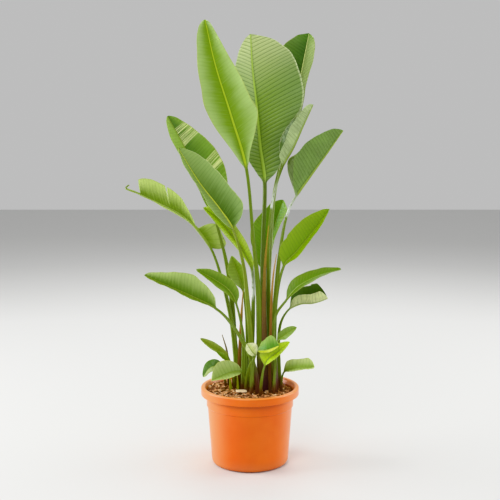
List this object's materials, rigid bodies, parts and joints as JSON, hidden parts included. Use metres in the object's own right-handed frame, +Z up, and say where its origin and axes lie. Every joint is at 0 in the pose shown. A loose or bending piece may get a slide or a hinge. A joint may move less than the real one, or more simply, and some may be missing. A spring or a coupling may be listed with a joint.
{
  "type": "potted bird of paradise",
  "caption": "Clump of tall stalked, paddle-shaped leaves growing from bark potting mix in a round tapered plastic nursery pot with a turned-down rim.",
  "frame": {"origin": "middle of the pot's flat underside", "axes": "+Z up along the pot's axis, +Y to the back of the plant, away from the side seen in the picture"},
  "size_m": [0.6504, 0.3, 1.3406],
  "materials": {
    "pot_plastic": "moulded orange plastic, satin",
    "potting_mix": "loose bark chips and fibre",
    "wood_chip": "raw split wood",
    "leaf_bright": "waxy yellow-green leaf",
    "leaf_fresh": "waxy mid-green leaf",
    "leaf_deep": "waxy deep green leaf",
    "leaf_pale": "matt grey-green leaf underside",
    "dry_sheath": "dry brown leaf sheath",
    "sprout": "young light green shoot"
  },
  "bodies": {
    "root": {"pot": "pot_plastic", "potting_mix": "potting_mix", "wood_chip": "wood_chip", "leaf_tall_left": "leaf_bright", "leaf_tall_centre": "leaf_fresh", "leaf_back_right": "leaf_deep", "leaf_furled_right": "leaf_pale", "leaf_right_high": "leaf_pale", "leaf_right_middle": "leaf_fresh", "leaf_right_low": "leaf_fresh", "leaf_right_cupped": "leaf_pale", "leaf_left_high": "leaf_fresh", "leaf_left_back": "leaf_deep", "leaf_left_torn": "leaf_fresh", "leaf_left_strap": "leaf_fresh", "leaf_left_low": "leaf_fresh", "leaf_left_narrow": "leaf_fresh", "leaf_left_inner": "leaf_pale", "leaf_centre_back": "leaf_bright", "leaf_small_right": "leaf_fresh", "leaf_low_dark": "leaf_deep", "leaf_low_bright": "leaf_bright", "leaf_low_curled": "leaf_bright", "leaf_low_right": "leaf_deep", "leaf_small_spear": "leaf_fresh", "leaf_small_folded": "leaf_bright", "leaf_low_pale": "leaf_pale", "leaf_low_left_dark": "leaf_deep", "sheath_centre": "dry_sheath", "sheath_right": "dry_sheath", "sheath_left": "dry_sheath", "dry_stalk": "dry_sheath", "sprout_left": "sprout", "sprout_inner": "sprout"}
  },
  "joints": []
}
